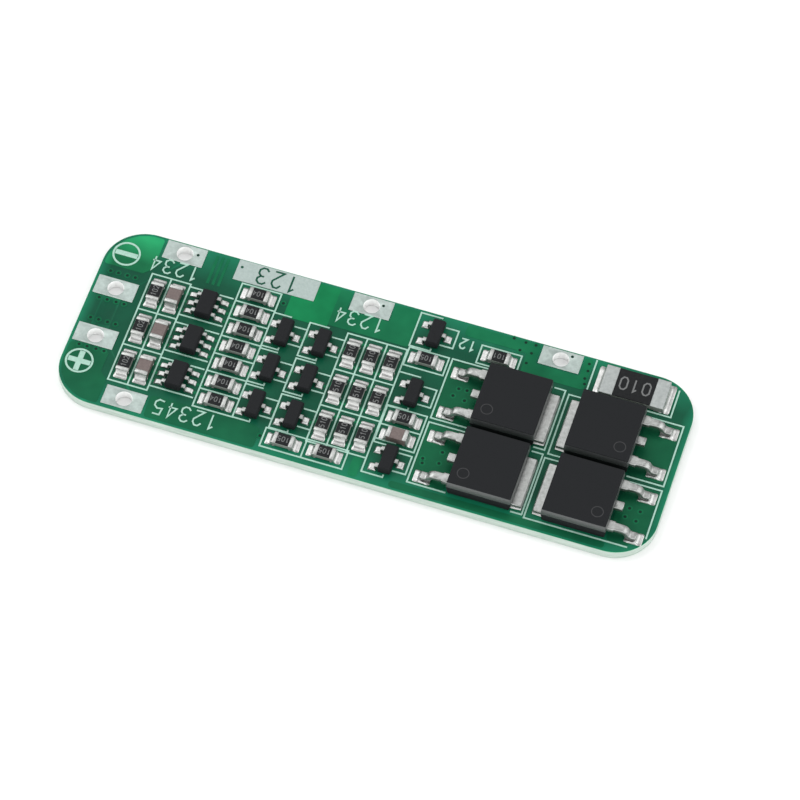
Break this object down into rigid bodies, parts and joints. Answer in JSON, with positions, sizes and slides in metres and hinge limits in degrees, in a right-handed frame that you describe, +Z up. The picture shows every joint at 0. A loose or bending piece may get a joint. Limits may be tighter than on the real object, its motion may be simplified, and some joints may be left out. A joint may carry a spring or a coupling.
{
  "type": "battery management board",
  "caption": "Slim laminate board with a row of soldered wire terminals, small chips and transistors, and flat power packages at one end, for guarding a battery pack.",
  "frame": {"origin": "centre of the board's underside", "axes": "+X along the board towards the power transistors, +Y towards the edge with three cell terminals, +Z up out of the component side"},
  "size_m": [0.0586, 0.02, 0.0032],
  "materials": {
    "laminate": "glossy solder mask",
    "tinned_copper": "tinned",
    "solder": "bright solder",
    "moulding_black": "fine matt",
    "resistor_overcoat": "satin glaze",
    "capacitor_ceramic": "fired ceramic"
  },
  "bodies": {
    "root": {"balance_resistor_1_1": "resistor_overcoat", "balance_resistor_1_2": "resistor_overcoat", "balance_resistor_1_3": "resistor_overcoat", "balance_resistor_2_1": "resistor_overcoat", "balance_resistor_2_2": "resistor_overcoat", "balance_resistor_2_3": "resistor_overcoat", "balance_resistor_3_1": "resistor_overcoat", "balance_resistor_3_2": "resistor_overcoat", "balance_resistor_3_3": "resistor_overcoat", "balance_transistor_1": "moulding_black", "balance_transistor_2": "moulding_black", "balance_transistor_3": "moulding_black", "circuit_board": "laminate", "control_capacitor": "capacitor_ceramic", "control_resistor_1": "resistor_overcoat", "control_resistor_2": "resistor_overcoat", "control_transistor_1": "moulding_black", "control_transistor_2": "moulding_black", "control_transistor_3": "moulding_black", "current_shunt": "resistor_overcoat", "divider_resistor_1": "resistor_overcoat", "divider_resistor_2": "resistor_overcoat", "divider_resistor_3": "resistor_overcoat", "divider_resistor_4": "resistor_overcoat", "divider_resistor_5": "resistor_overcoat", "divider_resistor_6": "resistor_overcoat", "divider_resistor_7": "resistor_overcoat", "filter_capacitor_1": "capacitor_ceramic", "filter_capacitor_2": "capacitor_ceramic", "filter_capacitor_3": "capacitor_ceramic", "filter_resistor_1": "resistor_overcoat", "filter_resistor_2": "resistor_overcoat", "filter_resistor_3": "resistor_overcoat", "gate_resistor": "resistor_overcoat", "lower_resistor_1": "resistor_overcoat", "lower_resistor_2": "resistor_overcoat", "power_transistor_1_body": "moulding_black", "power_transistor_1_leadframe": "tinned_copper", "power_transistor_2_body": "moulding_black", "power_transistor_2_leadframe": "tinned_copper", "power_transistor_3_body": "moulding_black", "power_transistor_3_leadframe": "tinned_copper", "power_transistor_4_body": "moulding_black", "power_transistor_4_leadframe": "tinned_copper", "protection_ic_1": "moulding_black", "protection_ic_2": "moulding_black", "protection_ic_3": "moulding_black", "solder_joints": "solder", "switch_transistor_1": "moulding_black", "switch_transistor_2": "moulding_black", "switch_transistor_3": "moulding_black", "terminal_cell_0": "tinned_copper", "terminal_cell_1": "tinned_copper", "terminal_cell_2": "tinned_copper", "terminal_cell_3": "tinned_copper", "terminal_minus": "tinned_copper", "terminal_plus": "tinned_copper"}
  },
  "joints": []
}
